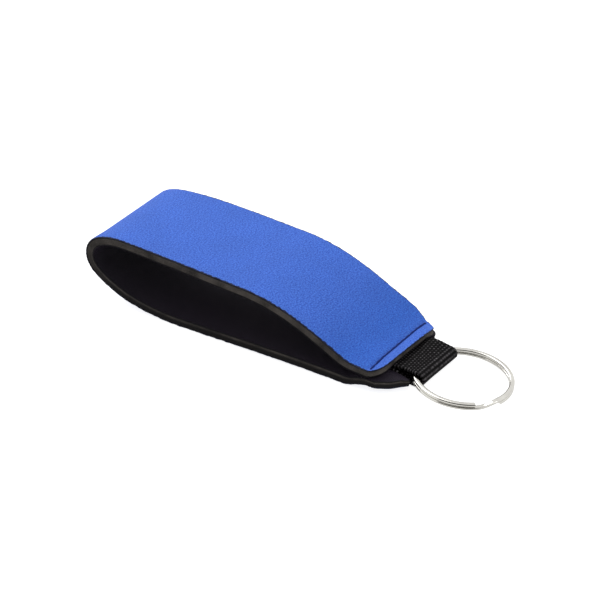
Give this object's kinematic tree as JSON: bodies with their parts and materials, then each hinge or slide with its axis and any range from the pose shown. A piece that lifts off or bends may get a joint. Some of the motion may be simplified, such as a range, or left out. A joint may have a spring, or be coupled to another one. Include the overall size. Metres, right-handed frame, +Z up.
{
  "type": "wristlet_keychain",
  "caption": "Wrist loop key holder: a flat foam-rubber band faced with blue knit, folded and sewn over a black webbing tab that holds a split ring",
  "frame": {"origin": "under the middle of the whole length, on the surface the part lies on", "axes": "+X from the hand loop towards the ring, +Y across the band, +Z up from the surface it lies on"},
  "size_m": [0.1372, 0.038, 0.0238],
  "materials": {
    "blue_knit": "fine matte knit with a short nap",
    "foam_rubber": "matte, fine closed cells",
    "black_knit": "fine matte knit",
    "black_webbing": "ribbed weave, slight sheen",
    "nickel": "polished nickel plate",
    "blue_thread": "twisted filament thread"
  },
  "bodies": {
    "strap": {"outer_jersey": "blue_knit", "foam_core": "foam_rubber", "lining_jersey": "black_knit", "webbing_tab": "black_webbing", "top_stitching": "blue_thread", "bottom_stitching": "blue_thread"},
    "ring": {"split_ring": "nickel"}
  },
  "joints": [
    {"name": "ring_spin", "type": "hinge", "parent": "strap", "child": "ring", "pos_m": [0.05361, -0.0008, 0.0022], "axis": [0.0523, 0.0436, 0.9977], "continuous": true}
  ]
}
